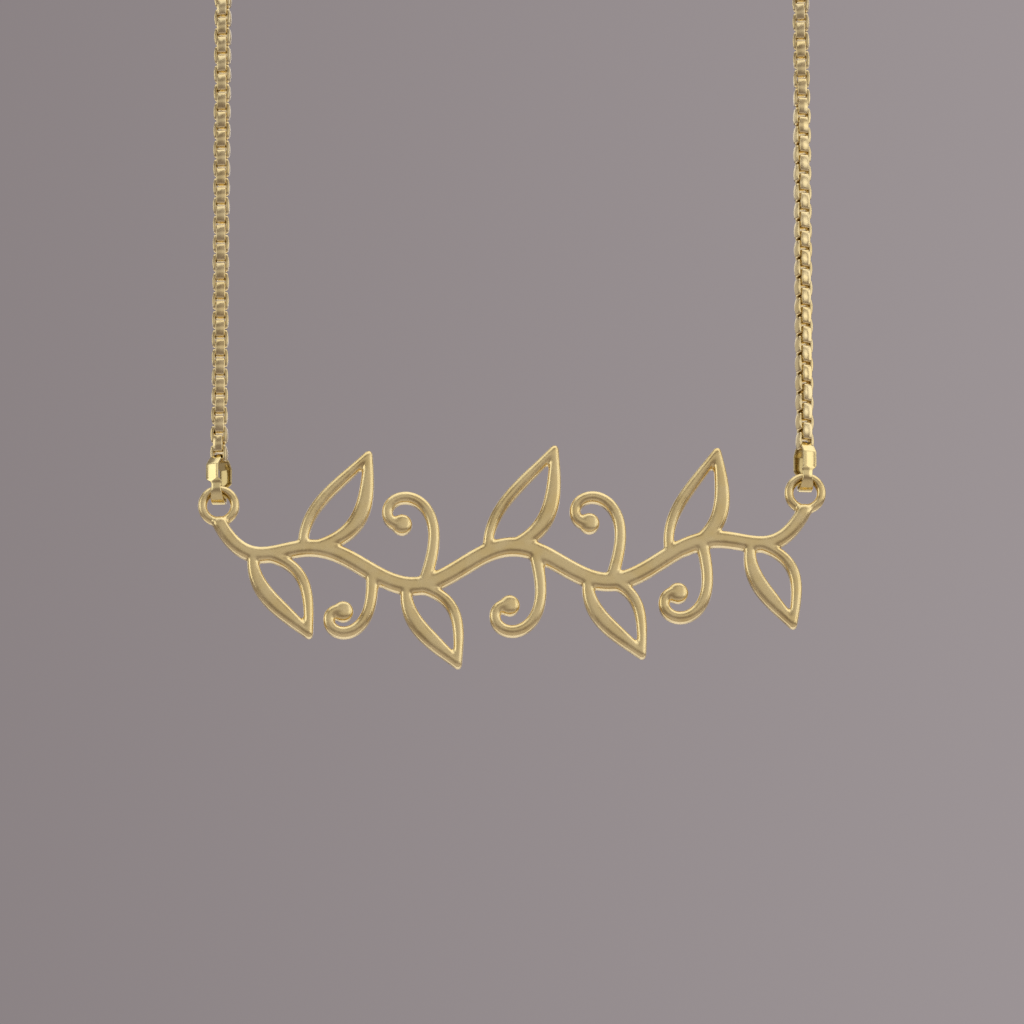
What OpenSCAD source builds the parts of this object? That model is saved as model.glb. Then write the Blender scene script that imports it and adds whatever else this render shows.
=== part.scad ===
// Nameplate necklace: an openwork vine plate on a fine square chain, hanging
// as one closed loop. The origin is the point that it hangs from, under the
// clasp at the top of the loop. X runs along the plate, the front faces -Y,
// and the necklace hangs down along -Z.

/* [Chain] */
// Length right round the closed loop, plate and clasp included
necklace_length = 450; // [380:5:600]
// Width of the square chain over its flats
chain_w = 1; // [0.7:0.05:1.3]
// Free room between a chain's end and the link that it hangs in
chain_gap = 0.1; // [0.05:0.01:0.2]

/* [Nameplate] */
// Distance between the centres of the two eyelets
eyelet_span = 35.2; // [30:0.1:50]
// How much lower the left eyelet sits than the right one
eyelet_drop = 0.78; // [0:0.02:2]
// Height of the vine, from its lowest to its highest leaf tip
vine_h = 13.6; // [11:0.1:17]
// Thickness of the plate
plate_t = 1; // [0.8:0.05:1.6]
// Width of the vine's plain stroke
stroke_w = 0.86; // [0.7:0.02:1]
// Radius of the fillet where two strokes meet
fillet_r = 0.22; // [0.1:0.01:0.3]

/* [Eyelets] */
// Outside diameter of an eyelet
eyelet_od = 2.5; // [2.4:0.05:3.2]
// Diameter of the hole in an eyelet
eyelet_hole = 1.4; // [1.36:0.02:1.6]
// Thickness of an eyelet
eyelet_t = 0.66; // [0.5:0.02:0.7]

/* [Links] */
// Width of the folded strip, at its widest
link_w = 0.82; // [0.7:0.02:0.86]
// Thickness of the folded strip
link_t = 0.15; // [0.1:0.01:0.2]
// Height of a link from its round foot to its narrow top
link_h = 3.1; // [2.9:0.05:4]
// Free room round an eyelet's band, inside the link that carries it
link_play = 0.3; // [0.26:0.01:0.4]
// How far an end link's front is turned outward, about the upright
link_turn = 10; // [0:1:12]

/* [Clasp] */
// Distance from the centre of the clasp's eye to the middle of its nose
clasp_reach = 6.2; // [5.8:0.1:9]
// Width of the clasp's body
clasp_w = 3.8; // [3.4:0.1:5]
// Thickness of the clasp's body
clasp_t = 1.4; // [1:0.05:1.5]
// Width of the clasp's hook where the ring hangs in it
hook_w = 0.75; // [0.6:0.05:1]
// Outside diameter of the clasp's ring
ring_od = 4; // [3.8:0.1:5]
// Thickness of the ring's round wire
ring_wire = 0.6; // [0.4:0.05:0.65]

/* [Hidden] */

gold = [0.80, 0.67, 0.40];

// How far a cutting shape runs past the faces that it cuts
cut_past = 0.1;
// Length of one straight step of a drawn curve
step = 0.55;

// Eyelets, and the links that hold them
band_w = (eyelet_od - eyelet_hole) / 2;
band_r = (eyelet_od + eyelet_hole) / 4;
link_r = norm([band_w, eyelet_t]) / 2 + link_play;
link_foot = link_r + link_t;
link_top = link_h - link_foot;

// The clasp's row, worked out along X from its left end
ring_r = (ring_od - ring_wire) / 2;
ring_seat = 0.3;
row_link = chain_gap + link_top;
row_eye = row_link + band_r;
row_nose = row_eye + clasp_reach;
row_ring = row_nose - hook_w / 2 - ring_seat - ring_wire / 2 + ring_r;
row_end = row_ring + ring_r + row_link;
row_z = clasp_w / 2;

// The loop: straight runs at the sides, a quarter turn to the clasp's row
turn_r = (eyelet_span - row_end) / 2;
run = (necklace_length - eyelet_span - row_end - PI * turn_r) / 2;
turn_z = row_z - turn_r;
eyelet_z = turn_z - run;
left_z = eyelet_z - eyelet_drop / 2;
right_z = eyelet_z + eyelet_drop / 2;

// The vine's stem is a low wave that sweeps up at both ends, into the lower
// bands of the eyelets. Heights on it are measured from the line through the
// eyelets' centres, and its own sizes are shares of the vine's height.
waves = 3;
stem_mid = -0.30 * vine_h;
stem_amp = 0.085 * vine_h;
stem_lift = -band_r - stem_mid + stem_amp;

// Leaves. Place is the share of the stem's length where a leaf grows, lean is
// its angle from straight up, long and wide are shares of the vine's height,
// bend is how far its middle bows, as a share of its length. Each is pierced.
LEAVES = [
    // place  lean  long  wide   bend
    [0.145,    34, 0.51, 0.205,  0.07],
    [0.460,    32, 0.55, 0.215,  0.07],
    [0.770,    24, 0.51, 0.205,  0.07],
    [0.060,   146, 0.44, 0.190, -0.07],
    [0.322,   148, 0.42, 0.190, -0.07],
    [0.630,   146, 0.42, 0.190, -0.07],
    [0.908,   154, 0.41, 0.180, -0.07]
];

// Tendrils. Each leaves the stem at a place, heads off at an angle from
// straight up, and winds in to a round bud. Side is 1 to the right, -1 left.
TENDRILS = [
    // place  lean  long  side
    [0.350,    18, 0.68,  -1],
    [0.668,    18, 0.66,  -1],
    [0.262,   178, 0.52,   1],
    [0.538,   166, 0.64,   1],
    [0.822,   166, 0.61,   1]
];

// The columns of the two tables
function place(row) = row[0];
function lean(row) = row[1];
function long(row) = row[2] * vine_h;
function wide(leaf) = leaf[3] * vine_h;
function bend(leaf) = leaf[4] * long(leaf);
function side(tendril) = tendril[3];

// A point on the stem, at a share of its length
function stem(s) = [
    eyelet_span * (s - 0.5),
    stem_mid - stem_amp * cos(360 * waves * s) + stem_lift * pow(abs(2 * s - 1), 8)
        + eyelet_drop * (s - 0.5)
];
// Direction of an angle that is measured from straight up, clockwise
function heading(a) = [sin(a), cos(a)];
function normal(a, b) = let (d = b - a) [-d[1], d[0]] / norm(d);

// One edge of a leaf: sign 1 is its right edge, -1 its left
function leaf_edge(leaf, sign, n) =
    let (root = stem(place(leaf)), up = heading(lean(leaf)), out = heading(lean(leaf) + 90))
    [for (i = [0:n])
        let (t = i / n,
             bow = bend(leaf) * sin(180 * t),
             swell = wide(leaf) / 2 * sin(180 * pow(t, 0.85)) * (1 - 0.25 * t))
        root + up * long(leaf) * t + out * (bow + sign * swell)];

// A tendril's line: its heading turns faster and faster as it winds in
function tendril_turn(t) = 20 * t + 270 * t * t * t;
function wind(row, n, i, p, out) =
    i > n ? out
    : let (a = lean(row) + side(row) * tendril_turn(i / n),
           q = p + heading(a) * long(row) / n)
      wind(row, n, i + 1, q, concat(out, [q]));
function tendril_line(row, n) = let (p = stem(place(row))) wind(row, n, 1, p, [p]);

// A brush stroke along a line of points. Its width goes from w0 to w1 at the
// middle and w2 at the end.
module stroke(line, w0, w1, w2) {
    n = len(line) - 1;
    function half(i) = let (t = i / n)
        (t < 0.5 ? w0 + (w1 - w0) * sin(180 * t) : w2 + (w1 - w2) * sin(180 * t)) / 2;
    function across(i) = normal(line[max(0, i - 1)], line[min(n, i + 1)]);
    polygon(concat(
        [for (i = [0:n]) line[i] + across(i) * half(i)],
        [for (i = [n:-1:0]) line[i] - across(i) * half(i)]));
    translate(line[0])
        circle(w0 / 2, $fn = 16);
    translate(line[n])
        circle(w2 / 2, $fn = 16);
}

module leaf(row) {
    n = ceil(long(row) / step);
    stroke(leaf_edge(row, 1, n), 0.7 * stroke_w, 1.15 * stroke_w, 0.6 * stroke_w);
    stroke(leaf_edge(row, -1, n), 0.7 * stroke_w, 0.8 * stroke_w, 0.6 * stroke_w);
}

module curl(row) {
    n = ceil(1.8 * long(row) / step);
    line = tendril_line(row, n);
    stroke(line, 0.9 * stroke_w, 0.8 * stroke_w, 0.75 * stroke_w);
    translate(line[n])
        circle(0.72 * stroke_w, $fn = 20);
}

module vine() {
    n = ceil(1.5 * eyelet_span / step);
    offset(r = -fillet_r, $fn = 16)
        offset(delta = fillet_r) {
            stroke([for (i = [0:n]) stem(i / n)], stroke_w, 1.25 * stroke_w, stroke_w);
            for (row = LEAVES)
                leaf(row);
            for (row = TENDRILS)
                curl(row);
        }
}

// A plain round piece whose axis runs front to back
module disc(d, t) {
    rotate([90, 0, 0])
        cylinder(d = d, h = t, center = true, $fn = 64);
}

module nameplate() {
    color(gold)
        difference() {
            union() {
                translate([0, 0, eyelet_z])
                    rotate([90, 0, 0])
                        linear_extrude(plate_t, center = true)
                            vine();
                translate([-eyelet_span / 2, 0, left_z])
                    disc(eyelet_od, eyelet_t);
                translate([eyelet_span / 2, 0, right_z])
                    disc(eyelet_od, eyelet_t);
            }
            translate([-eyelet_span / 2, 0, left_z])
                disc(eyelet_hole, plate_t + 2 * cut_past);
            translate([eyelet_span / 2, 0, right_z])
                disc(eyelet_hole, plate_t + 2 * cut_past);
        }
}

// Side view of a folded link: a round foot, straight legs and a narrow top.
// The eyelet's band lies at the origin.
module link_side(grow) {
    top_r = 0.25 * link_h / 2 + grow;
    hull() {
        circle(link_r + grow, $fn = 48);
        translate([-link_r - grow, 0])
            square([2 * (link_r + grow), 0.65 * link_top]);
        translate([0, link_top - link_t - top_r + grow])
            circle(top_r, $fn = 32);
    }
}

// Front view of a folded link: a wide foot, a waist where the eyelet's band
// lies, plain legs and a crest that fits inside a chain link
module link_front() {
    rows = [
        // height          width
        [-link_foot,       link_w],
        [-0.26 * link_top, 0.92 * link_w],
        [-0.05 * link_top, 0.7 * link_w],
        [0.07 * link_top,  0.7 * link_w],
        [0.25 * link_top,  link_w],
        [0.84 * link_top,  link_w],
        [0.92 * link_top,  0.6 * link_w],
        [link_top,         0.58 * link_w]
    ];
    n = len(rows) - 1;
    polygon(concat(
        [for (i = [0:n]) [rows[i][1] / 2, rows[i][0]]],
        [for (i = [n:-1:0]) [-rows[i][1] / 2, rows[i][0]]]));
}

module link() {
    color(gold)
        intersection() {
            rotate([90, 0, 90])
                linear_extrude(link_w + 2 * cut_past, center = true)
                    difference() {
                        link_side(link_t);
                        link_side(0);
                    }
            rotate([90, 0, 0])
                linear_extrude(2 * link_foot + 2 * cut_past, center = true)
                    link_front();
        }
}

module end_link_left() {
    translate([-eyelet_span / 2, 0, left_z + band_r])
        rotate([0, 0, -link_turn])
            link();
}

module end_link_right() {
    translate([eyelet_span / 2, 0, right_z + band_r])
        rotate([0, 0, link_turn])
            link();
}

// Route of a chain's straight run, from its foot to where the turn starts:
// x, z and the angle of its outer side above the level
function run_route(sign, foot_z) =
    [for (z = [foot_z, turn_z]) [sign * eyelet_span / 2, z, 0]];

// Route of the quarter turn above it, up to the clasp's row
function turn_route(sign) =
    let (n = 10)
    [for (i = [0:n])
        let (a = 90 * i / n)
        [sign * (row_end / 2 + turn_r * cos(a)), turn_z + turn_r * sin(a), a]];

// The chain's space, an eight-sided tube. Each ring of points lies square to
// the route, which stays in the upright plane of the loop.
module chain(sign, path) {
    sides = 8;
    n = len(path);
    r = chain_w / 2 / cos(180 / sides);
    function ring(i) =
        [for (k = [0:sides - 1])
            let (a = path[i][2], b = 360 * (k + 0.5) / sides, out = r * cos(b))
            [path[i][0] + sign * out * cos(a), r * sin(b), path[i][1] + out * sin(a)]];
    points = [for (i = [0:n - 1]) each ring(i)];
    walls = [
        for (i = [0:n - 2])
            for (k = [0:sides - 1])
                let (a = i * sides + k, b = i * sides + (k + 1) % sides)
                sign > 0 ? [a, a + sides, b + sides, b] : [a, b, b + sides, a + sides]
    ];
    first = [for (k = [0:sides - 1]) sign > 0 ? k : sides - 1 - k];
    last = [for (k = [0:sides - 1]) (n - 1) * sides + (sign > 0 ? sides - 1 - k : k)];
    color(gold)
        polyhedron(points, concat([first], walls, [last]));
}

module chain_left() {
    chain(-1, run_route(-1, left_z + band_r + link_top + chain_gap));
}

module chain_right() {
    chain(1, run_route(1, right_z + band_r + link_top + chain_gap));
}

module chain_turn_left() {
    chain(-1, turn_route(-1));
}

module chain_turn_right() {
    chain(1, turn_route(1));
}

function row_x(along) = along - row_end / 2;

module clasp_link_left() {
    translate([row_x(row_link), 0, row_z])
        rotate([0, -90, 0])
            link();
}

module clasp_link_right() {
    translate([row_x(row_end - row_link), 0, row_z])
        rotate([90, 0, 0])
            rotate([0, 90, 0])
                link();
}

// Outline of the clasp's body, from its neck to its nose, seen from the front
module clasp_body() {
    nose = row_x(row_nose) + hook_w / 2;
    nose_r = 0.3 * clasp_w;
    hull() {
        translate([row_x(row_eye) + eyelet_od / 2, 0])
            circle(band_w, $fn = 32);
        circle(clasp_w / 2, $fn = 64);
        translate([nose - nose_r, 0])
            circle(nose_r, $fn = 48);
    }
}

module clasp_mouth() {
    nose = row_x(row_nose) - hook_w / 2;
    mouth_r = 0.22 * clasp_w;
    hull() {
        translate([nose - mouth_r, 0])
            circle(mouth_r, $fn = 40);
        translate([0.03 * clasp_w, 0])
            circle(1.2 * mouth_r, $fn = 40);
    }
}

module clasp() {
    color(gold)
        translate([0, 0, row_z])
            difference() {
                union() {
                    rotate([90, 0, 0])
                        linear_extrude(clasp_t, center = true)
                            clasp_body();
                    // Thumb nub on the upper edge
                    translate([-0.2 * clasp_w, 0, 0.5 * clasp_w])
                        disc(0.3 * clasp_w, 0.6 * clasp_t);
                    translate([row_x(row_eye), 0, 0])
                        disc(eyelet_od, eyelet_t);
                }
                rotate([90, 0, 0])
                    linear_extrude(clasp_t + 2 * cut_past, center = true)
                        clasp_mouth();
                translate([row_x(row_eye), 0, 0])
                    disc(eyelet_hole, clasp_t + 2 * cut_past);
            }
}

module clasp_ring() {
    color(gold)
        translate([row_x(row_ring), 0, row_z])
            rotate_extrude($fn = 64)
                translate([ring_r, 0])
                    circle(d = ring_wire, $fn = 32);
}

nameplate();
end_link_left();
end_link_right();
chain_left();
chain_right();
chain_turn_left();
chain_turn_right();
clasp_link_left();
clasp_link_right();
clasp();
clasp_ring();
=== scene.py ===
# %% [markdown]
# # A nameplate necklace
# This notebook dresses a necklace whose plain solids are already packed. The frame says where each
# piece sits. Here each piece gets its real form: a cast vine plate with tumbled edges, two sides of
# fine square chain, folded links and a clasp. The solids stay in place underneath for collision.

import math

import bpy
import numpy as np
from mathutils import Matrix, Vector


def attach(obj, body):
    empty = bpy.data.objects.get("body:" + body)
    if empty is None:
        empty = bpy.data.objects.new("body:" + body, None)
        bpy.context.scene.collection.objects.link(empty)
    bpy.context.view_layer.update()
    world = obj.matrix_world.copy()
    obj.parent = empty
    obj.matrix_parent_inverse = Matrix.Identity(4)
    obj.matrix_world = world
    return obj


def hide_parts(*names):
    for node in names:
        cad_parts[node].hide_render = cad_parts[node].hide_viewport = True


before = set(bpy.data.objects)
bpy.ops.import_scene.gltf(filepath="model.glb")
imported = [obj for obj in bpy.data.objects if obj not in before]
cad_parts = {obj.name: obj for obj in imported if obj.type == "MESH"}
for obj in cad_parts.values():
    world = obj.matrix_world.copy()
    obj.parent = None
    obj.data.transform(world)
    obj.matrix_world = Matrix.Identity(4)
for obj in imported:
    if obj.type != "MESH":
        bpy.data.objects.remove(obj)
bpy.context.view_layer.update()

# %% [markdown]
# ## Sizes
# A goldsmith works in millimetres, and numbers such as 0.15 are easier to check than 0.00015.
# So every shape below is drawn in millimetres, and shrunk to Blender's metres when it becomes a
# mesh. These sizes repeat those of the solids.

# %% The loop's sizes, in millimetres
MM = 0.001
# the whole loop, the square chain, and the free room between its end and the link that it hangs in
NECKLACE_LENGTH = 450.0
CHAIN_WIDTH = 1.0
CHAIN_GAP = 0.1
# the eyelets' centres lie a span apart, and the left one hangs lower by the drop
EYELET_SPAN = 35.2
EYELET_DROP = 0.78
EYELET_OUTSIDE = 2.5
EYELET_HOLE = 1.4
EYELET_THICK = 0.66
# the folded links, and the play that each leaves round what it holds
LINK_WIDTH = 0.82
LINK_THICK = 0.15
LINK_HEIGHT = 3.1
LINK_PLAY = 0.3
# the clasp, whose reach is from its eye to its nose, and its ring, which keeps the seat off the hook
CLASP_REACH = 6.2
CLASP_WIDTH = 3.8
HOOK_WIDTH = 0.75
RING_OUTSIDE = 4.0
RING_WIRE = 0.6
RING_SEAT = 0.3

band_width = (EYELET_OUTSIDE - EYELET_HOLE) / 2
band_radius = (EYELET_OUTSIDE + EYELET_HOLE) / 4
link_radius = math.hypot(band_width, EYELET_THICK) / 2 + LINK_PLAY
link_top = LINK_HEIGHT - link_radius - LINK_THICK
ring_radius = (RING_OUTSIDE - RING_WIRE) / 2
print("a link holds its eyelet's band with a radius of", round(link_radius, 3), "mm")

# %% [markdown]
# ## Where the loop runs
# A necklace is sold by the length of its whole loop, so that length is what stays fixed. The clasp's
# row lies along the top, a quarter turn leads down from each end of it, and the straight runs get
# what is left. Working this out in the solids' own way keeps every piece on its solid. Heights
# start at the point that the loop hangs from, so most of them are negative.

# %% The loop's row, turns and runs
# distances along the clasp's row, from its left end
row_link = CHAIN_GAP + link_top
row_nose = row_link + band_radius + CLASP_REACH
row_ring = row_nose - HOOK_WIDTH / 2 - RING_SEAT - RING_WIRE / 2 + ring_radius
row_end = row_ring + ring_radius + row_link

row_height = CLASP_WIDTH / 2
turn_radius = (EYELET_SPAN - row_end) / 2
straight_run = (NECKLACE_LENGTH - EYELET_SPAN - row_end - math.pi * turn_radius) / 2
turn_height = row_height - turn_radius
eyelet_height = turn_height - straight_run
eyelets = {
    # side (left is -1): height of its eyelet's middle
    -1: eyelet_height - EYELET_DROP / 2,
    1: eyelet_height + EYELET_DROP / 2,
}
print("eyelet line at", round(eyelet_height, 2), "mm, turn radius", round(turn_radius, 2), "mm")

# %% [markdown]
# ## One way to make every strip and wire
# Strokes, chain links, folded links and rings are all a small section that travels along a line.
# Blender's curve bevel could do it, but it can't change width and thickness apart from each other.
# A short function that joins rings of points into a skin can, and it keeps the faces tidy.

# %% A skin over rings of points
def skin(rings, closed):
    """Joins rings of points, all alike in number, into faces. Closed joins the last to the first."""
    rings = np.asarray(rings, float)
    count, around = rings.shape[:2]
    spans = count if closed else count - 1
    here = np.arange(spans)[:, None] * around
    after = (np.arange(spans)[:, None] + 1) % count * around
    side = np.arange(around)[None, :]
    beside = (side + 1) % around
    faces = np.stack([here + side, here + beside, after + beside, after + side], axis=-1)
    faces = [tuple(face) for face in faces.reshape(-1, 4).tolist()]
    if not closed:
        faces.append(tuple(range(around - 1, -1, -1)))
        faces.append(tuple(range((count - 1) * around, count * around)))
    return rings.reshape(-1, 3), faces


def rounded_section(half_wide, half_thick, rounding, steps):
    """Outline of a strip's section: a rectangle with rounded corners, steps points a corner."""
    rounding = min(rounding, half_wide, half_thick)
    angles = np.linspace(0, math.pi / 2, steps)
    outline = []
    for quarter, (sx, sy) in enumerate(((1, 1), (-1, 1), (-1, -1), (1, -1))):
        turned_angles = angles + quarter * math.pi / 2
        corner = [sx * (half_wide - rounding), sy * (half_thick - rounding)]
        arc = np.column_stack([np.cos(turned_angles), np.sin(turned_angles)])
        outline.append(corner + rounding * arc)
    return np.concatenate(outline)


def new_piece(name, points, faces, finish):
    """A smooth piece from points in millimetres."""
    mesh = bpy.data.meshes.new(name)
    mesh.from_pydata((np.asarray(points) * MM).tolist(), [], faces)
    mesh.shade_smooth()
    mesh.materials.append(finish)
    piece = bpy.data.objects.new(name, mesh)
    bpy.context.scene.collection.objects.link(piece)
    return piece


# %% [markdown]
# ## Two layers of unevenness
# Plated brass looks like metal because its mirror is never perfect. Casting and rolling leave soft
# waves, and tumbling leaves a fine satin grain. A picture of real metal would do, but it would show
# another room's reflections. So both come from noise that belongs to the piece itself. They stay
# put when the piece swings, and they can be baked.

# %% Waves and grain
WAVE_SCALE = 900
WAVE_DETAIL = 3
WAVE_STRENGTH = 0.55
WAVE_DEPTH = 0.02
GRAIN_SCALE = 14000
GRAIN_DETAIL = 2
GRAIN_STRENGTH = 0.5


def unevenness(tree, place, scale, detail):
    """Noise that is fixed to the piece. Scale says how many of its blots lie along a metre."""
    noise = tree.nodes.new("ShaderNodeTexNoise")
    noise.inputs["Scale"].default_value = scale
    noise.inputs["Detail"].default_value = detail
    tree.links.new(place.outputs["Object"], noise.inputs["Vector"])
    return noise


def relief(tree, noise, strength, depth):
    """Bumps that follow a noise, with their depth in millimetres."""
    bumps = tree.nodes.new("ShaderNodeBump")
    bumps.inputs["Strength"].default_value = strength
    bumps.inputs["Distance"].default_value = depth * MM
    tree.links.new(noise.outputs["Fac"], bumps.inputs["Height"])
    return bumps


# %% [markdown]
# ## The golds
# One plating bath gives several finishes. The cast plate is satin all over. Rolled strip and the
# clasp are brighter. The inner faces of links and chain rings carry painted shade: a darker tone
# that stands in for the shade that neighbouring links cast there. The waves also set how rough a
# spot is and how deep its tone: a high spot is rubbed more, so it is paler and more satin.
# One function makes every gold, so that the finishes stay relatives of each other.

# %% A gold finish
LOW_SPOT = 0.3
HIGH_SPOT = 0.7
DEEP_TONE_AT = 0.25
FULL_TONE_AT = 0.6
# how dark the painted shade on inner faces is, as a share of the deep tone
PAINTED_SHADE_TONE = 0.6


def gold(name, colour, deep_colour, shine, grain_depth):
    """Gold plate. Shine is (least, most) roughness, and the grain's depth is in millimetres."""
    material = bpy.data.materials.new(name)
    material.use_nodes = True
    tree = material.node_tree
    join = tree.links.new
    metal = tree.nodes["Principled BSDF"]
    metal.inputs["Metallic"].default_value = 1.0
    place = tree.nodes.new("ShaderNodeTexCoord")
    waves = unevenness(tree, place, WAVE_SCALE, WAVE_DETAIL)
    grain = unevenness(tree, place, GRAIN_SCALE, GRAIN_DETAIL)

    polish = tree.nodes.new("ShaderNodeMapRange")
    polish.inputs["From Min"].default_value = LOW_SPOT
    polish.inputs["From Max"].default_value = HIGH_SPOT
    polish.inputs["To Min"].default_value = shine[0]
    polish.inputs["To Max"].default_value = shine[1]
    join(waves.outputs["Fac"], polish.inputs["Value"])
    join(polish.outputs["Result"], metal.inputs["Roughness"])

    tone = tree.nodes.new("ShaderNodeValToRGB")
    tone.color_ramp.elements[0].position = DEEP_TONE_AT
    tone.color_ramp.elements[0].color = (*deep_colour, 1)
    tone.color_ramp.elements[1].position = FULL_TONE_AT
    tone.color_ramp.elements[1].color = (*colour, 1)
    join(waves.outputs["Fac"], tone.inputs["Fac"])

    # painted shade: faces marked by the attribute get a darker deep tone, in place of the shade that
    # neighbouring links cast
    painted_shade = tree.nodes.new("ShaderNodeAttribute")
    painted_shade.attribute_name = "painted_shade"
    painted_shade_mix = tree.nodes.new("ShaderNodeMix")
    painted_shade_mix.data_type = "RGBA"
    painted_shade_mix.inputs["B"].default_value = (*[v * PAINTED_SHADE_TONE for v in deep_colour], 1)
    join(painted_shade.outputs["Fac"], painted_shade_mix.inputs["Factor"])
    join(tone.outputs["Color"], painted_shade_mix.inputs["A"])
    join(painted_shade_mix.outputs["Result"], metal.inputs["Base Color"])

    soft_waves = relief(tree, waves, WAVE_STRENGTH, WAVE_DEPTH)
    fine_grain = relief(tree, grain, GRAIN_STRENGTH, grain_depth)
    join(soft_waves.outputs["Normal"], fine_grain.inputs["Normal"])
    join(fine_grain.outputs["Normal"], metal.inputs["Normal"])
    return material


satin_gold = gold(
    "satin_gold", colour=(0.99, 0.82, 0.42), deep_colour=(0.84, 0.655, 0.285),
    shine=(0.20, 0.34), grain_depth=0.004)
chain_gold = gold(
    "chain_gold", colour=(0.92, 0.77, 0.42), deep_colour=(0.87, 0.69, 0.32),
    shine=(0.15, 0.24), grain_depth=0.0015)
bright_gold = gold(
    "bright_gold", colour=(0.96, 0.82, 0.41), deep_colour=(0.91, 0.73, 0.33),
    shine=(0.12, 0.22), grain_depth=0.001)
print("finishes:", [material.name for material in bpy.data.materials])

# %% [markdown]
# ## The vine's stem
# The plate is an openwork vine: a waved stem, seven leaves that are outlines only, and five winding
# tendrils. Drawing lines first and giving them width later is how such a plate is designed for
# casting. The stem is a cosine wave that lifts at both ends to meet the eyelets.

# %% The stem's line
VINE_HEIGHT = 13.6
WAVES = 3
# the stem's depth under the eyelet line, and how far it waves, as shares of the vine's height
STEM_DEPTH = 0.30
STEM_WAVE = 0.085
LIFT_POWER = 8
stem_middle = -STEM_DEPTH * VINE_HEIGHT
stem_wave = STEM_WAVE * VINE_HEIGHT
stem_lift = -band_radius - stem_middle + stem_wave


def stem_point(share):
    """A point (x, z) of the stem, at a share of its length."""
    wave = stem_middle - stem_wave * math.cos(2 * math.pi * WAVES * share)
    lift = stem_lift * abs(2 * share - 1) ** LIFT_POWER + EYELET_DROP * (share - 0.5)
    return np.array([EYELET_SPAN * (share - 0.5), eyelet_height + wave + lift])


print("the stem's middle lies at height", round(stem_point(0.5)[1], 2), "mm")

# %% [markdown]
# ## Leaves and tendrils
# Each leaf is two edges that bow away from its middle line and meet at its tip. Each tendril starts
# nearly straight and turns faster and faster as it winds in. A rule with a few numbers gives each
# of them its points, so a leaf is moved or stretched by one number. Drawing them by hand with
# Blender's curve tools would do too, but it wouldn't stay in step with the solids.

# %% Lines of the leaves and tendrils
LEAVES = [
    # place is a share of the stem's length, and lean is in degrees, clockwise from straight up
    # long and wide are shares of the vine's height, and bend is a share of the leaf's length
    # place  lean  long  wide   bend
    (0.145, 34, 0.51, 0.205, 0.07),
    (0.460, 32, 0.55, 0.215, 0.07),
    (0.770, 24, 0.51, 0.205, 0.07),
    (0.060, 146, 0.44, 0.190, -0.07),
    (0.322, 148, 0.42, 0.190, -0.07),
    (0.630, 146, 0.42, 0.190, -0.07),
    (0.908, 154, 0.41, 0.180, -0.07),
]
TENDRILS = [
    # way is 1 for a tendril that winds clockwise, -1 for the other way
    # place  lean  long  way
    (0.350, 18, 0.68, -1),
    (0.668, 18, 0.66, -1),
    (0.262, 178, 0.52, 1),
    (0.538, 166, 0.64, 1),
    (0.822, 166, 0.61, 1),
]
LEAF_BELLY = 0.85
LEAF_TAPER = 0.25
DRAWN_STEP = 0.55
CURL_FINENESS = 1.8
FIRST_CURL = 20
LAST_CURL = 270


def heading(degrees):
    """Direction of an angle that is measured clockwise from straight up."""
    angle = math.radians(degrees)
    return np.array([math.sin(angle), math.cos(angle)])


def leaf_edge(leaf, side, count):
    """One edge of a leaf, from its root on the stem to its tip."""
    place, lean, long, wide, bend = leaf
    long, wide = long * VINE_HEIGHT, wide * VINE_HEIGHT
    edge = []
    for t in np.linspace(0, 1, count + 1):
        bow = bend * long * math.sin(math.pi * t)
        swell = wide / 2 * math.sin(math.pi * t ** LEAF_BELLY) * (1 - LEAF_TAPER * t)
        on_axis = stem_point(place) + heading(lean) * long * t
        edge.append(on_axis + heading(lean + 90) * (bow + side * swell))
    return np.array(edge)


def tendril_line(tendril):
    """A tendril's line, from the stem to its bud."""
    place, lean, long, way = tendril
    long = long * VINE_HEIGHT
    count = math.ceil(CURL_FINENESS * long / DRAWN_STEP)
    line = [stem_point(place)]
    for t in np.arange(1, count + 1) / count:
        curl = FIRST_CURL * t + LAST_CURL * t ** 3
        line.append(line[-1] + heading(lean + way * curl) * long / count)
    return np.array(line)


def flowing(line, times):
    """More points on the smooth curve through a line's points."""
    ends = np.concatenate([[2 * line[0] - line[1]], line, [2 * line[-1] - line[-2]]])
    before, start, end, after = ends[:-3], ends[1:-2], ends[2:-1], ends[3:]
    out = []
    for t in np.arange(times) / times:
        out.append(0.5 * (2 * start + (end - before) * t
                          + (2 * before - 5 * start + 4 * end - after) * t ** 2
                          + (3 * start - before - 3 * end + after) * t ** 3))
    points = np.stack(out, axis=1).reshape(-1, line.shape[1])
    return np.concatenate([points, line[-1:]])


print("leaves:", len(LEAVES), "tendrils:", len(TENDRILS))

# %% [markdown]
# ## Strokes with tumbled edges
# A tumbled casting has no sharp edge: its section is flat in the middle and round at both sides.
# Each stroke is a closed body of that section, and it swells in its middle like a brush stroke. A
# bevel modifier could round the edges later, but here the section carries the rounding from the
# start, so strokes that cross don't disturb it.

# %% The body of one stroke
PLATE_THICK = 1.0
STROKE = 0.86
EDGE_ROUNDING = 0.23
ROUND_CORNER = 5
CAP_ANGLES = np.radians([85, 65, 45, 25])
BRUSH = {
    # width at the start, in the middle and at the end, as shares of the stroke's width
    "stem": (1.0, 1.25, 1.0),
    "lower_edge": (0.7, 1.15, 0.6),
    "upper_edge": (0.7, 0.8, 0.6),
    "tendril": (0.9, 0.8, 0.75),
    "bud": (1.44, 1.44, 1.44),
}
plate_bodies = []


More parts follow.
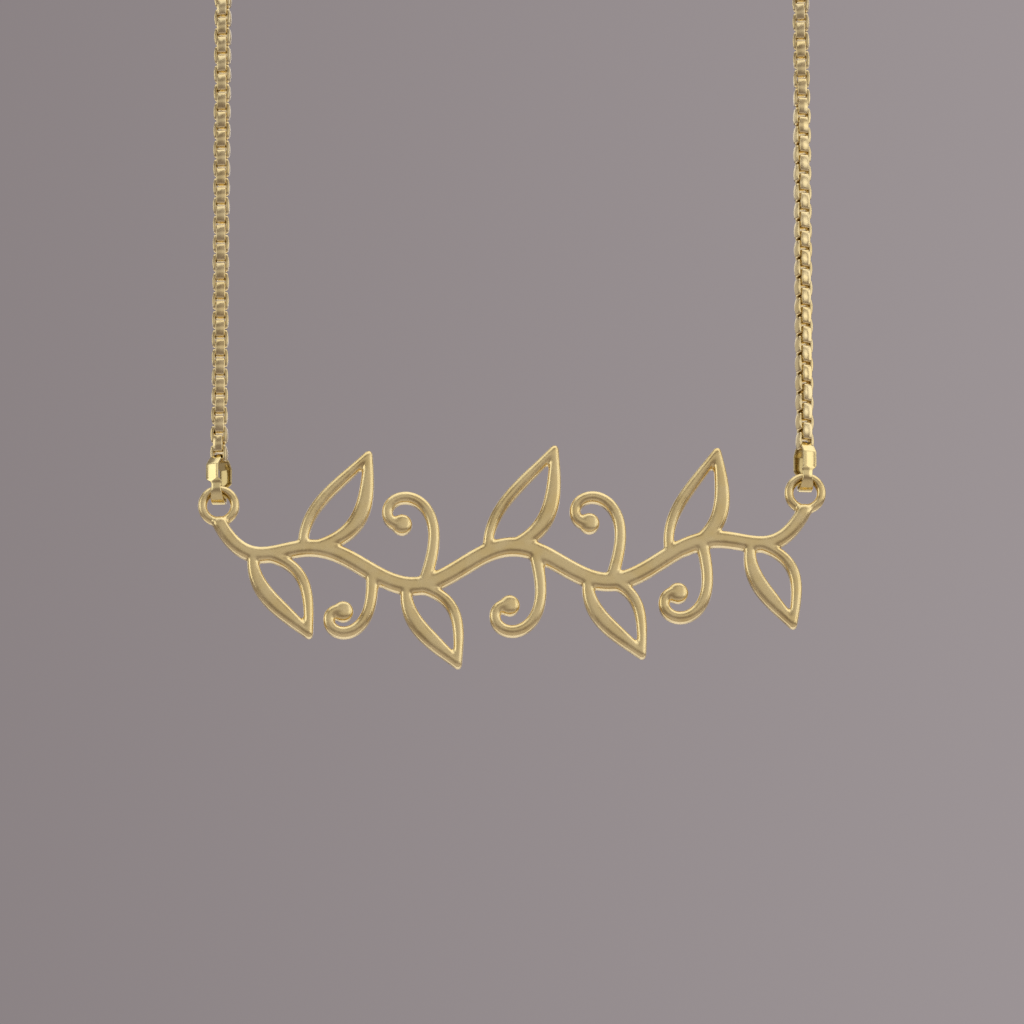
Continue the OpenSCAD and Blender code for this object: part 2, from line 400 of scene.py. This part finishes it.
def add_stroke(line, brush):
    """Adds the body of a brush stroke, with its two rounded ends."""
    start_width, middle_width, end_width = [width * STROKE for width in BRUSH[brush]]
    line = np.asarray(line)
    along = np.gradient(line, axis=0)
    along /= np.linalg.norm(along, axis=1)[:, None]
    share = np.linspace(0, 1, len(line))
    edge = np.where(share < 0.5, start_width, end_width)
    half = (edge + (middle_width - edge) * np.sin(np.pi * share)) / 2
    rings = []
    for angle in CAP_ANGLES:
        tip = line[0] - along[0] * half[0] * math.sin(angle)
        rings.append((tip, along[0], half[0] * math.cos(angle), angle))
    for point, direction, width in zip(line, along, half):
        rings.append((point, direction, width, 0))
    for angle in CAP_ANGLES[::-1]:
        tip = line[-1] + along[-1] * half[-1] * math.sin(angle)
        rings.append((tip, along[-1], half[-1] * math.cos(angle), angle))
    body = []
    for point, direction, width, angle in rings:
        thick = PLATE_THICK / 2 - EDGE_ROUNDING * (1 - math.cos(angle))
        section = rounded_section(width, thick, EDGE_ROUNDING, ROUND_CORNER)
        across = np.array([-direction[1], direction[0]])
        flat = point + section[:, :1] * across
        body.append(np.column_stack([flat[:, 0], section[:, 1], flat[:, 1]]))
    plate_bodies.append(skin(body, closed=False))


# %% [markdown]
# ## The whole vine
# The stem comes first, then two edges for each leaf, then the tendrils with a round bud at the tip
# of each. The lower edge of a leaf is drawn broader than the upper one, as a slanted pen would.
# The strokes overlap freely, because the casting below takes no notice of that.

# %% Every stroke of the vine
STEM_TRIM = 0.002
STEM_POINTS = 400
LEAF_STEPS = 50
TENDRIL_TIMES = 4
BUD_HALF_LENGTH = 0.01

stem_line = [stem_point(share) for share in np.linspace(STEM_TRIM, 1 - STEM_TRIM, STEM_POINTS)]
add_stroke(stem_line, "stem")
for leaf in LEAVES:
    add_stroke(leaf_edge(leaf, 1, LEAF_STEPS), "lower_edge")
    add_stroke(leaf_edge(leaf, -1, LEAF_STEPS), "upper_edge")
for tendril in TENDRILS:
    line = flowing(tendril_line(tendril), TENDRIL_TIMES)
    add_stroke(line, "tendril")
    bud = line[-1]
    half_bud = heading(90) * BUD_HALF_LENGTH
    add_stroke([bud - half_bud, bud + half_bud], "bud")
print("strokes:", len(plate_bodies))

# %% [markdown]
# ## Eyelets
# The eyelets are flat rings, thinner than the plate, soldered to the stem's two ends. Blender's
# torus would give them a round section, so they are made from the strokes' kind of section instead,
# bent right round.

# %% Bodies of the eyelets
EYELET_ROUNDING = 0.2
ROUND_STEPS = 96


def full_turn(steps):
    """Angles that divide a full turn evenly."""
    return np.linspace(0, 2 * math.pi, steps, endpoint=False)


for side, height in eyelets.items():
    section = rounded_section(band_width / 2, EYELET_THICK / 2, EYELET_ROUNDING, ROUND_CORNER)
    body = []
    for angle in full_turn(ROUND_STEPS):
        reach = band_radius + section[:, 0]
        x = side * EYELET_SPAN / 2 + reach * math.cos(angle)
        z = height + reach * math.sin(angle)
        body.append(np.column_stack([x, section[:, 1], z]))
    plate_bodies.append(skin(body, closed=True))
print("bodies to cast as one:", len(plate_bodies))

# %% [markdown]
# ## Casting the plate as one
# On the real plate nothing shows where strokes meet, because it is cast in one piece. A boolean
# union of so many bodies is fragile. A voxel remesh takes the skin of all of them at once, and a
# few rounds of smoothing give each inner corner the small fillet that molten metal leaves.

# %% One skin for the whole plate
PLATE_VOXEL = 0.085
PLATE_ROUNDS = 6
SMOOTHING_SHARE = 0.5


def cast(name, bodies, finish, voxel, rounds):
    """Melts bodies, in millimetres, into one smooth piece."""
    points, faces = [], []
    offset = 0
    for body_points, body_faces in bodies:
        points.append(body_points)
        faces.extend(tuple(corner + offset for corner in face) for face in body_faces)
        offset += len(body_points)
    mesh = bpy.data.meshes.new(name + "_parts")
    mesh.from_pydata(np.concatenate(points).tolist(), [], faces)
    melt = bpy.data.objects.new(name + "_parts", mesh)
    bpy.context.scene.collection.objects.link(melt)
    remesh = melt.modifiers.new("one_skin", "REMESH")
    remesh.mode = "VOXEL"
    remesh.voxel_size = voxel
    smooth = melt.modifiers.new("fillets", "SMOOTH")
    smooth.factor = SMOOTHING_SHARE
    smooth.iterations = rounds
    depsgraph = bpy.context.evaluated_depsgraph_get()
    skin_mesh = bpy.data.meshes.new_from_object(melt.evaluated_get(depsgraph))
    bpy.data.objects.remove(melt)
    coordinates = np.empty(len(skin_mesh.vertices) * 3, np.float32)
    skin_mesh.vertices.foreach_get("co", coordinates)
    skin_mesh.vertices.foreach_set("co", coordinates * MM)
    skin_mesh.update()
    skin_mesh.name = name
    skin_mesh.shade_smooth()
    skin_mesh.materials.clear()
    skin_mesh.materials.append(finish)
    piece = bpy.data.objects.new(name, skin_mesh)
    bpy.context.scene.collection.objects.link(piece)
    print(name, "has", len(skin_mesh.polygons), "faces")
    return piece


vine_plate = cast("vine_plate", plate_bodies, satin_gold, PLATE_VOXEL, PLATE_ROUNDS)
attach(vine_plate, "nameplate")
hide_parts("nameplate")

# %% [markdown]
# ## Strips bent into loops
# Chain links and folded links are both a flat strip bent round and closed. A loop is given by the
# corners that its outline would have if it were not bent, and by how round each bend is. The
# rounding puts an arc in each corner, as a goldsmith's pliers do, and long flats get points between.

# %% A loop with rounded bends
SAME_PLACE = 1e-6


def rounded_loop(corners, radii, steps):
    """A closed loop with steps points on each bend, and its outward direction at each point."""
    corners = np.asarray(corners, float)
    points, outward = [], []
    for i, (corner, radius) in enumerate(zip(corners, radii)):
        back = corners[i - 1] - corner
        ahead = corners[(i + 1) % len(corners)] - corner
        back /= np.linalg.norm(back)
        ahead /= np.linalg.norm(ahead)
        inward = (back + ahead) / np.linalg.norm(back + ahead)
        half_angle = math.acos(np.clip(back @ ahead, -1, 1)) / 2
        centre = corner + inward * radius / math.sin(half_angle)
        spread = math.pi / 2 - half_angle
        middle = math.atan2(-inward[1], -inward[0])
        for angle in np.linspace(middle - spread, middle + spread, steps):
            direction = np.array([math.cos(angle), math.sin(angle)])
            points.append(centre + radius * direction)
            outward.append(direction)
    return np.array(points), np.array(outward)


def with_even_steps(line, outward, longest):
    """Adds points to a closed line where two lie too far apart, and drops one of two that coincide."""
    points, directions = [], []
    for i in range(len(line)):
        j = (i + 1) % len(line)
        distance = np.linalg.norm(line[j] - line[i])
        if distance < SAME_PLACE:
            continue
        pieces = math.ceil(distance / longest)
        for share in np.arange(pieces) / pieces:
            points.append(line[i] + (line[j] - line[i]) * share)
            directions.append(outward[i] + (outward[j] - outward[i]) * share)
    directions = np.array(directions)
    return np.array(points), directions / np.linalg.norm(directions, axis=1)[:, None]


# %% [markdown]
# ## A folded link from the side
# An end link is a stamped strip that is folded round its eyelet's band and closed above. Seen from
# its side it has a round foot, two straight walls with a shoulder each, and a narrow crest that the
# last chain ring hangs on. The slope from a shoulder to the crest is worked out so that it just
# touches the crest's curve.

# %% The folded link's line
SHOULDER_SHARE = 0.65
SHOULDER_BEND = 0.12
CREST_RADIUS = 0.3875
LINK_BEND_STEPS = 14
LONGEST_STEP = 0.06


def link_loop():
    """A folded link's middle line from the side, and its outward direction at each point."""
    reach = link_radius + LINK_THICK / 2
    top_radius = CREST_RADIUS + LINK_THICK / 2
    top_centre = link_top - LINK_THICK / 2 - top_radius
    shoulder = SHOULDER_SHARE * link_top
    from_top = np.array([reach, shoulder - top_centre])
    distance = np.linalg.norm(from_top)
    slope = math.atan2(from_top[1], from_top[0]) + math.acos(top_radius / distance)
    apex = top_centre + top_radius / math.sin(slope)
    corners = [(-reach, -reach), (reach, -reach), (reach, shoulder), (0, apex), (-reach, shoulder)]
    radii = [reach, reach, SHOULDER_BEND, top_radius, SHOULDER_BEND]
    line, outward = rounded_loop(corners, radii, LINK_BEND_STEPS)
    return with_even_steps(line, outward, LONGEST_STEP)


link_line, link_outward = link_loop()
print("points on a folded link's line:", len(link_line))

# %% [markdown]
# ## Folded links
# The strip is wide at its foot, waisted where the eyelet's band lies, and narrow at its crest. The
# front view in the photograph shows the upper half turned further than the foot, so the strip is
# twisted a little between the two. Its inner side is marked for painted shade: the finish darkens it
# in place of the shade that the strip casts on itself.
# Weighted normals let the flat faces stay flat, so that only the bends look round.

# %% A folded link
LINK_EDGE = 0.045
STRIP_CORNER = 3
TWIST_START = 0.3
TWIST_LENGTH = 0.3
# how strong the painted shade is on a folded link's inner side
LINK_PAINTED_SHADE = 1.0
LINK_WIDTHS = [
    # height     width, as shares of the link's top height and of its full width
    (-(link_radius + LINK_THICK) / link_top, 1.0),
    (-0.26, 0.92),
    (-0.05, 0.7),
    (0.1, 0.7),
    (0.19, 1.0),
    (0.84, 1.0),
    (0.92, 0.6),
    (1.0, 0.58),
]


def turned(u, v, angle):
    """Two coordinates after a turn that takes the first axis towards the second."""
    return u * math.cos(angle) - v * math.sin(angle), u * math.sin(angle) + v * math.cos(angle)


def mark_painted_shade(piece, shade):
    """Writes how much painted shade each point of a piece gets, from 0 for none to 1 for the darkest.
    """
    layer = piece.data.attributes.new("painted_shade", "FLOAT", "POINT")
    layer.data.foreach_set("value", np.asarray(shade, np.float32))


def keep_flats(piece):
    """Lets a strip's flat faces set the shading of their edges."""
    flats = piece.modifiers.new("flat_faces", "WEIGHTED_NORMAL")
    flats.keep_sharp = True


def folded_link(name, foot_turn, top_turn, placed):
    """A folded link. Placed moves points from its own axes (width, depth, height) to the loop's."""
    heights, widths = np.array(LINK_WIDTHS).T
    rings, painted_shades = [], []
    for (depth, height), (out_depth, out_height) in zip(link_line, link_outward):
        width = LINK_WIDTH * np.interp(height, heights * link_top, widths)
        section = rounded_section(width / 2, LINK_THICK / 2, LINK_EDGE, STRIP_CORNER)
        blend = np.clip((height - TWIST_START) / TWIST_LENGTH, 0, 1)
        turn = math.radians(foot_turn + (top_turn - foot_turn) * blend * blend * (3 - 2 * blend))
        deep = depth + section[:, 1] * out_depth
        up = height + section[:, 1] * out_height
        x, y = turned(section[:, 0], deep, turn)
        rings.append(placed(np.column_stack([x, y, up])))
        # the strip's inner side gets painted shade
        painted_shades.append(np.where(section[:, 1] < 0, LINK_PAINTED_SHADE, 0.0))
    points, faces = skin(rings, closed=True)
    piece = new_piece(name, points, faces, bright_gold)
    mark_painted_shade(piece, np.concatenate(painted_shades))
    keep_flats(piece)
    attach(piece, "necklace")
    print(name, "has", len(faces), "faces")
    return piece


# %% [markdown]
# ## Two pairs of links
# The lower pair holds the plate's eyelets, each turned a little its own way. The upper pair lies
# down along the clasp's row: the left one holds the clasp's eye and the right one the ring, which
# lies the other way, so these two are a quarter turn apart.

# %% The four links in place
FOOT_TURN = 10
LEFT_TOP_TURN = -28
RIGHT_TOP_TURN = 20


def at_eyelet(side):
    """Places a link's points so that its foot holds an eyelet's upper band."""
    return lambda points: points + [side * EYELET_SPAN / 2, 0, eyelets[side] + band_radius]


def row_place(along):
    """Where a distance along the clasp's row lies, from the row's left end."""
    return along - row_end / 2


def at_clasp(points):
    """Lays a link down at the left of the row, with its crest to the left."""
    across, deep, up = points.T
    return np.column_stack([-up, deep, across]) + [row_place(row_link), 0, row_height]


def at_ring(points):
    """Lays a link down at the right of the row, with its crest to the right."""
    across, deep, up = points.T
    return np.column_stack([up, across, deep]) + [row_place(row_end - row_link), 0, row_height]


left_link = folded_link("folded_link_left", -FOOT_TURN, LEFT_TOP_TURN, at_eyelet(-1))
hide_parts("end_link_left")
right_link = folded_link("folded_link_right", FOOT_TURN, RIGHT_TOP_TURN, at_eyelet(1))
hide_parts("end_link_right")
lying_left = folded_link("clasp_side_link_left", 0, 0, at_clasp)
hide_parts("clasp_link_left")
lying_right = folded_link("clasp_side_link_right", 0, 0, at_ring)
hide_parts("clasp_link_right")

# %% [markdown]
# ## One ring of the chain
# Box chain is a row of short square rings of flat strip. Each ring hangs inside the one above, a
# quarter turn from it, so from any side one ring shows its flat wall and the next its edges. The
# side walls are crowned: they stand out a little at half height, so each catches its own light. The
# strip narrows towards the ring's top and bottom, where it has to pass inside its neighbours. Its
# outer and inner outlines are drawn apart, because they bend differently.

# %% The ring
STRIP_THICK = 0.21
STRIP_WIDTH = 0.59
STRIP_EDGE = 0.05
STRIP_TAPER = 0.13
OUTER_BEND = 0.1
INNER_BEND = 0.03
RING_BEND_STEPS = 4
CROWN_TILT = math.radians(13)
CROWN_REACH = 3.4
# how strong the painted shade is on a chain ring's inner side
RING_PAINTED_SHADE = 0.5
PITCH = 0.6
RING_PLAY = 0.02
RING_HEIGHT = PITCH + 2 * STRIP_THICK + RING_PLAY


def ring_outline(inset, bend_radius):
    """A ring's outline seen from its side, at a depth under its outer surface."""
    half_high = RING_HEIGHT / 2 - inset
    crown_radius = CROWN_REACH * half_high
    tip = CHAIN_WIDTH / 2 - inset + crown_radius * (1 / math.cos(CROWN_TILT) - 1)
    end = tip - half_high * math.tan(CROWN_TILT)
    corners = [
        (-end, -half_high), (end, -half_high), (tip, 0),
        (end, half_high), (-end, half_high), (-tip, 0),
    ]
    radii = [bend_radius, bend_radius, crown_radius] * 2
    return rounded_loop(corners, radii, RING_BEND_STEPS)[0]


strip = rounded_section(STRIP_WIDTH / 2, STRIP_THICK / 2, STRIP_EDGE, STRIP_CORNER)
outward_share = strip[:, 1:] / STRIP_THICK + 0.5
ring_bodies = []
ring_painted_shades = []
for outer, inner in zip(ring_outline(0, OUTER_BEND), ring_outline(STRIP_THICK, INNER_BEND)):
    wide, high = (inner + (outer - inner) * outward_share).T
    narrowed = 1 - STRIP_TAPER * (2 * high / RING_HEIGHT) ** 2
    ring_bodies.append(np.column_stack([wide, narrowed * strip[:, 0], high]))
    # the ring's inner side gets painted shade, at half the links' strength
    ring_painted_shades.append(np.where(strip[:, 1] < 0, RING_PAINTED_SHADE, 0.0))
ring_points, ring_faces = skin(ring_bodies, closed=True)
ring_painted_shades = np.concatenate(ring_painted_shades)
print("one chain ring:", len(ring_faces), "faces")

# %% [markdown]
# ## The chain's route
# Each side of the chain goes straight up from its end link, round a quarter turn and level to the
# clasp's row. A curve object could carry it, but a formula gives the place and the direction at any
# distance, so rings can be set at an even pitch. The centres of the first and last rings lie a
# little beyond the crests that they hang on.

# %% Places along the chain
LAST_RING_RISE = 0.03


def route(side, along):
    """Centre of the chain and its angle from upright, at a distance from its lowest ring's centre."""
    foot = eyelets[side] + band_radius + link_top + LAST_RING_RISE
    up = turn_height - foot
    bend = math.pi / 2 * turn_radius
    if along < up:
        return np.array([side * EYELET_SPAN / 2, 0, foot + along]), 0.0
    angle = min((along - up) / turn_radius, math.pi / 2)
    beyond = max(along - up - bend, 0)
    x = row_end / 2 + turn_radius * math.cos(angle) - beyond
    return np.array([side * x, 0, turn_height + turn_radius * math.sin(angle)]), angle


def route_length(side):
    """Distance from the centre of the lowest ring to that of the last one, at the clasp."""
    up = turn_height - eyelets[side] - band_radius - link_top
    return up + math.pi / 2 * turn_radius + CHAIN_GAP - 2 * LAST_RING_RISE


print("left route:", round(route_length(-1), 2), "mm, right route:", round(route_length(1), 2), "mm")

# %% [markdown]
# ## One side of the chain
# The ring is made once and copied along the route, each copy a quarter turn from the last. An array
# modifier on a curve would do that too, but real rings also sit a little askew, each in its own way,
# and a hanging chain twists slowly. So each copy gets small chance turns, from a seed that makes
# them the same each time, and the slow twist that the photograph shows.

# %% Rings along a route
QUARTER_TURN = 90
# how widely the rings differ in roll, nod and sway, in degrees
RING_SWAYS = [1.2, 0.9, 0.9]
TWISTS = {
    # distance from the foot in millimetres, turn about the chain's own axis in degrees
    -1: [(0, -14), (3, 3), (12, 0), (22, -6), (28, -10), (60, -4), (110, 0)],
    1: [(0, 24), (3, 30), (8, 26), (13, 22), (19, 18), (25, -8), (60, -4), (110, 0)],
}


def square_chain(name, side, steps, seed):
    """One side of the chain, from the end link to the clasp's row."""
    chance = np.random.default_rng(seed)
    pitch = route_length(side) / steps
    distances, turns = np.array(TWISTS[side], float).T
    points, faces, painted_shades = [], [], []
    for i in range(steps + 1):
        centre, angle = route(side, i * pitch)
        turn = np.interp(i * pitch, distances, turns) + (QUARTER_TURN if i % 2 else 0)
        roll, nod, sway = np.radians(np.array([turn, 0, 0]) + chance.normal(0, RING_SWAYS))
        x, y, z = ring_points.T
        z, x = turned(z, x, nod)
        y, z = turned(y, z, sway)
        x, y = turned(x, y, roll)
        z, x = turned(z, x, -side * angle)
        points.append(np.column_stack([x, y, z]) + centre)
        offset = i * len(ring_points)
        faces.extend(tuple(corner + offset for corner in face) for face in ring_faces)
        # each ring carries its painted shade on the inner side
        painted_shades.append(ring_painted_shades)
    piece = new_piece(name, np.concatenate(points), faces, chain_gold)
    mark_painted_shade(piece, np.concatenate(painted_shades))
    keep_flats(piece)
    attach(piece, "necklace")
    print(name, "has", steps + 1, "rings,", len(faces), "faces, a ring each", round(pitch, 4), "mm")
    return piece


# %% [markdown]
# ## Both sides
# The left side ends in a ring that lies as its first one does, the right side in one a quarter turn
# from it, because the two links at the clasp lie a quarter turn apart. So one side needs an odd
# number of rings and the other an even one, and each takes the pitch that fits.

# %% The left and the right chain
left_steps = 2 * round(route_length(-1) / PITCH / 2)
right_steps = 2 * round((route_length(1) / PITCH - 1) / 2) + 1
left_chain = square_chain("square_chain_left", -1, left_steps, seed=3)
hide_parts("chain_left", "chain_turn_left")
right_chain = square_chain("square_chain_right", 1, right_steps, seed=4)
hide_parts("chain_right", "chain_turn_right")

# %% [markdown]
# ## The clasp
# The clasp is a small casting, polished all over. Its solid has the right form with sharp edges.
# Modelling it again would only repeat that form, so the same melt that made the plate is given a
# copy of the solid. Finer voxels keep its hook, and many rounds of smoothing wear its edges.

# %% The clasp, rounded
CLASP_VOXEL = 0.045
CLASP_ROUNDS = 34


def solid_body(node):
    """Points, in millimetres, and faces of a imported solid."""
    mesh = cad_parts[node].data
    points = np.array([vertex.co for vertex in mesh.vertices]) / MM
    return points, [tuple(face.vertices) for face in mesh.polygons]


lobster_clasp = cast("lobster_clasp", [solid_body("clasp")], bright_gold, CLASP_VOXEL, CLASP_ROUNDS)
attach(lobster_clasp, "necklace")
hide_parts("clasp")

# %% [markdown]
# ## The clasp's ring
# The ring is plain round wire, bent and closed. Blender's own torus would do, but it comes in
# metres and has to be moved afterwards. The skin function sets it straight in its place. Its wire
# is a hair thinner than the solid's, so that the finer ring stays inside the solid's facets.

# %% The ring that the clasp holds
WIRE_HAIR = 0.004
WIRE_STEPS = 24
wire_radius = (RING_WIRE - WIRE_HAIR) / 2
wire_angles = full_turn(WIRE_STEPS)
ring_rings = []
for angle in full_turn(ROUND_STEPS):
    reach = ring_radius + wire_radius * np.cos(wire_angles)
    x = row_place(row_ring) + reach * math.cos(angle)
    height = row_height + wire_radius * np.sin(wire_angles)
    ring_rings.append(np.column_stack([x, reach * math.sin(angle), height]))
wire_ring = new_piece("wire_ring", *skin(ring_rings, closed=True), bright_gold)
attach(wire_ring, "necklace")
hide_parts("clasp_ring")
print("wire_ring has", len(wire_ring.data.polygons), "faces")

# %% [markdown]
# ## Floor
# The necklace hangs, so nothing stands on the floor. A pale floor well below it still belongs to
# the room: it sends a little warm light up to the undersides.

# %% The floor, in metres
FLOOR_HEIGHT = -0.6
FLOOR_HALF = 14
FLOOR_PAINT = (0.70, 0.66, 0.67, 1)
FLOOR_ROUGHNESS = 0.8
floor_corners = [
    (sx * FLOOR_HALF, sy * FLOOR_HALF, FLOOR_HEIGHT)
    for sx, sy in ((-1, -1), (1, -1), (1, 1), (-1, 1))
]
floor_mesh = bpy.data.meshes.new("pale_floor")
floor_mesh.from_pydata(floor_corners, [], [(0, 1, 2, 3)])
floor = bpy.data.objects.new("pale_floor", floor_mesh)
bpy.context.scene.collection.objects.link(floor)
paint = bpy.data.materials.new("pale_paint")
paint.use_nodes = True
painted = paint.node_tree.nodes["Principled BSDF"]
painted.inputs["Base Color"].default_value = FLOOR_PAINT
painted.inputs["Roughness"].default_value = FLOOR_ROUGHNESS
floor_mesh.materials.append(paint)
print("floor at", FLOOR_HEIGHT, "m")

# %% [markdown]
# ## Backdrop
# The necklace hangs in front of a plain warm grey. A wall behind it would cut off the view from the
# back, so that grey is the world's own colour, and it is there from every side. It is a little
# darker at the left than at the right, as in the photograph.

# %% A warm grey world
# the grey changes while the sideways part of a direction goes from minus this to this
FADE_HALF = 0.16
LEFT_GREY = (0.225, 0.195, 0.200, 1)
RIGHT_GREY = (0.365, 0.325, 0.335, 1)
world = bpy.data.worlds.new("warm_grey")
bpy.context.scene.world = world
world.use_nodes = True
backdrop = world.node_tree
towards = backdrop.nodes.new("ShaderNodeTexCoord")
parts = backdrop.nodes.new("ShaderNodeSeparateXYZ")
fade = backdrop.nodes.new("ShaderNodeMapRange")
fade.interpolation_type = "SMOOTHSTEP"
fade.inputs["From Min"].default_value = -FADE_HALF
fade.inputs["From Max"].default_value = FADE_HALF
greys = backdrop.nodes.new("ShaderNodeValToRGB")
greys.color_ramp.elements[0].color = LEFT_GREY
greys.color_ramp.elements[1].color = RIGHT_GREY
backdrop.links.new(towards.outputs["Generated"], parts.inputs["Vector"])
backdrop.links.new(parts.outputs["X"], fade.inputs["Value"])
backdrop.links.new(fade.outputs["Result"], greys.inputs["Fac"])
backdrop.links.new(greys.outputs["Color"], backdrop.nodes["Background"].inputs["Color"])
bpy.context.scene.view_settings.view_transform = "Standard"
print("world:", world.name)

# %% [markdown]
# ## Light
# Metal shows what it mirrors, so a small lamp would give it only sparks. Large soft panels give each
# face a broad patch to mirror. A long low strip in front lights the plate's face. Panels at the
# front left, at the front right, at the right and at the left behind light the links' folds and
# the chain's side walls. One overhead lights the upper edges. One behind parts the necklace from
# the grey, and one low behind shows in the undersides.

# %% Soft panels of light
plate_middle = Vector((0, 0, eyelet_height * MM))
PANELS = [
    # azimuth 0 is in front and 90 at the right
    # name, azimuth and elevation in degrees, distance and (width, height) in metres, power in watts
    ("front_panel", 6, 15, 0.9, (2.6, 0.22), 0.50),
    ("left_panel", -57, 14, 0.9, (0.5, 0.5), 0.8),
    ("left_back_panel", -122, 14, 0.9, (0.7, 0.5), 0.3),
    ("right_front_panel", 42, 14, 0.9, (0.4, 0.5), 0.36),
    ("overhead_panel", 15, 76, 0.8, (1.4, 1.1), 3.8),
    ("right_panel", 80, 15, 0.9, (0.5, 0.7), 0.9),
    ("back_panel", 190, 25, 1.1, (1.0, 0.5), 1.0),
    ("low_back_panel", 180, -24, 0.6, (1.2, 0.3), 0.7),
]


def soft_panel(name, azimuth, elevation, distance, size, power):
    """A large soft light that faces the plate."""
    light = bpy.data.lights.new(name, "AREA")
    light.shape = "RECTANGLE"
    light.size, light.size_y = size
    light.energy = power
    a, e = math.radians(azimuth), math.radians(elevation)
    towards = Vector((math.sin(a) * math.cos(e), -math.cos(a) * math.cos(e), math.sin(e)))
    panel = bpy.data.objects.new(name, light)
    panel.location = plate_middle + towards * distance
    panel.rotation_euler = towards.to_track_quat("Z", "Y").to_euler()
    panel.visible_camera = False
    bpy.context.scene.collection.objects.link(panel)


for panel_values in PANELS:
    soft_panel(*panel_values)
print("soft panels:", len(PANELS))

# %% [markdown]
# ## Camera
# The photograph looks up at the plate from 15 degrees below, from about half a metre. Its picture
# is 61.4 mm wide at the plate, which with that distance sets the lens.

# %% The camera
LOOK_UP = math.radians(15)
# in metres
CAMERA_DISTANCE = 0.536
PICTURE_WIDTH = 0.06144
NEAREST_SEEN = 0.01
# in millimetres
AIM_BELOW_EYELETS = 0.76
camera_data = bpy.data.cameras.new("photo_camera")
camera_data.lens = camera_data.sensor_width * CAMERA_DISTANCE / PICTURE_WIDTH
camera_data.clip_start = NEAREST_SEEN
camera = bpy.data.objects.new("photo_camera", camera_data)
aim = Vector((0, 0, (eyelet_height - AIM_BELOW_EYELETS) * MM))
look = Vector((0, math.cos(LOOK_UP), math.sin(LOOK_UP)))
camera.location = aim - look * CAMERA_DISTANCE
camera.rotation_euler = look.to_track_quat("-Z", "Y").to_euler()
bpy.context.scene.collection.objects.link(camera)
bpy.context.scene.camera = camera
print("lens:", round(camera_data.lens, 1), "mm")
